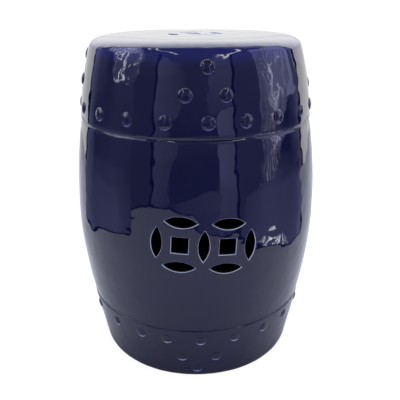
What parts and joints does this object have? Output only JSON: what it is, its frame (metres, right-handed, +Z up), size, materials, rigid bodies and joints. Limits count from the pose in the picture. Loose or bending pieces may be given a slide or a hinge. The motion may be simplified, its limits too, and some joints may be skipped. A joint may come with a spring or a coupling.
{
  "type": "garden stool",
  "caption": "Barrel-shaped glazed ceramic garden stool with a flat pierced seat, grooved bands set with nail-head studs, a linked-coin openwork pattern and a hollow body open below.",
  "frame": {"origin": "on the ground at the middle of the foot, on the axis of the turned body", "axes": "+Z up along the body's axis to the seat; -Y is the front, towards the viewer in the picture, with the pierced linked coins; +X is the viewer's right"},
  "size_m": [0.3524, 0.3523, 0.46],
  "materials": {
    "cobalt_glaze": "thick high-gloss dark cobalt-blue glaze over stoneware, thinner and paler on cut edges",
    "bare_clay": "unglazed fired buff clay, wiped clean so that it stands on the kiln shelf"
  },
  "bodies": {
    "root": {"seat_slab": "cobalt_glaze", "upper_band": "cobalt_glaze", "belly_wall": "cobalt_glaze", "lower_band": "cobalt_glaze", "foot_coil": "bare_clay", "lower_stud_01": "cobalt_glaze", "lower_stud_02": "cobalt_glaze", "lower_stud_03": "cobalt_glaze", "lower_stud_04": "cobalt_glaze", "lower_stud_05": "cobalt_glaze", "lower_stud_06": "cobalt_glaze", "lower_stud_07": "cobalt_glaze", "lower_stud_08": "cobalt_glaze", "lower_stud_09": "cobalt_glaze", "lower_stud_10": "cobalt_glaze", "lower_stud_11": "cobalt_glaze", "lower_stud_12": "cobalt_glaze", "lower_stud_13": "cobalt_glaze", "lower_stud_14": "cobalt_glaze", "lower_stud_15": "cobalt_glaze", "lower_stud_16": "cobalt_glaze", "lower_stud_17": "cobalt_glaze", "lower_stud_18": "cobalt_glaze", "lower_stud_19": "cobalt_glaze", "lower_stud_20": "cobalt_glaze", "lower_trio_back": "cobalt_glaze", "lower_trio_front": "cobalt_glaze", "lower_trio_left": "cobalt_glaze", "lower_trio_right": "cobalt_glaze", "upper_stud_01": "cobalt_glaze", "upper_stud_02": "cobalt_glaze", "upper_stud_03": "cobalt_glaze", "upper_stud_04": "cobalt_glaze", "upper_stud_05": "cobalt_glaze", "upper_stud_06": "cobalt_glaze", "upper_stud_07": "cobalt_glaze", "upper_stud_08": "cobalt_glaze", "upper_stud_09": "cobalt_glaze", "upper_stud_10": "cobalt_glaze", "upper_stud_11": "cobalt_glaze", "upper_stud_12": "cobalt_glaze", "upper_stud_13": "cobalt_glaze", "upper_stud_14": "cobalt_glaze", "upper_stud_15": "cobalt_glaze", "upper_stud_16": "cobalt_glaze", "upper_stud_17": "cobalt_glaze", "upper_stud_18": "cobalt_glaze", "upper_stud_19": "cobalt_glaze", "upper_stud_20": "cobalt_glaze", "upper_trio_back": "cobalt_glaze", "upper_trio_front": "cobalt_glaze", "upper_trio_left": "cobalt_glaze", "upper_trio_right": "cobalt_glaze"}
  },
  "joints": []
}
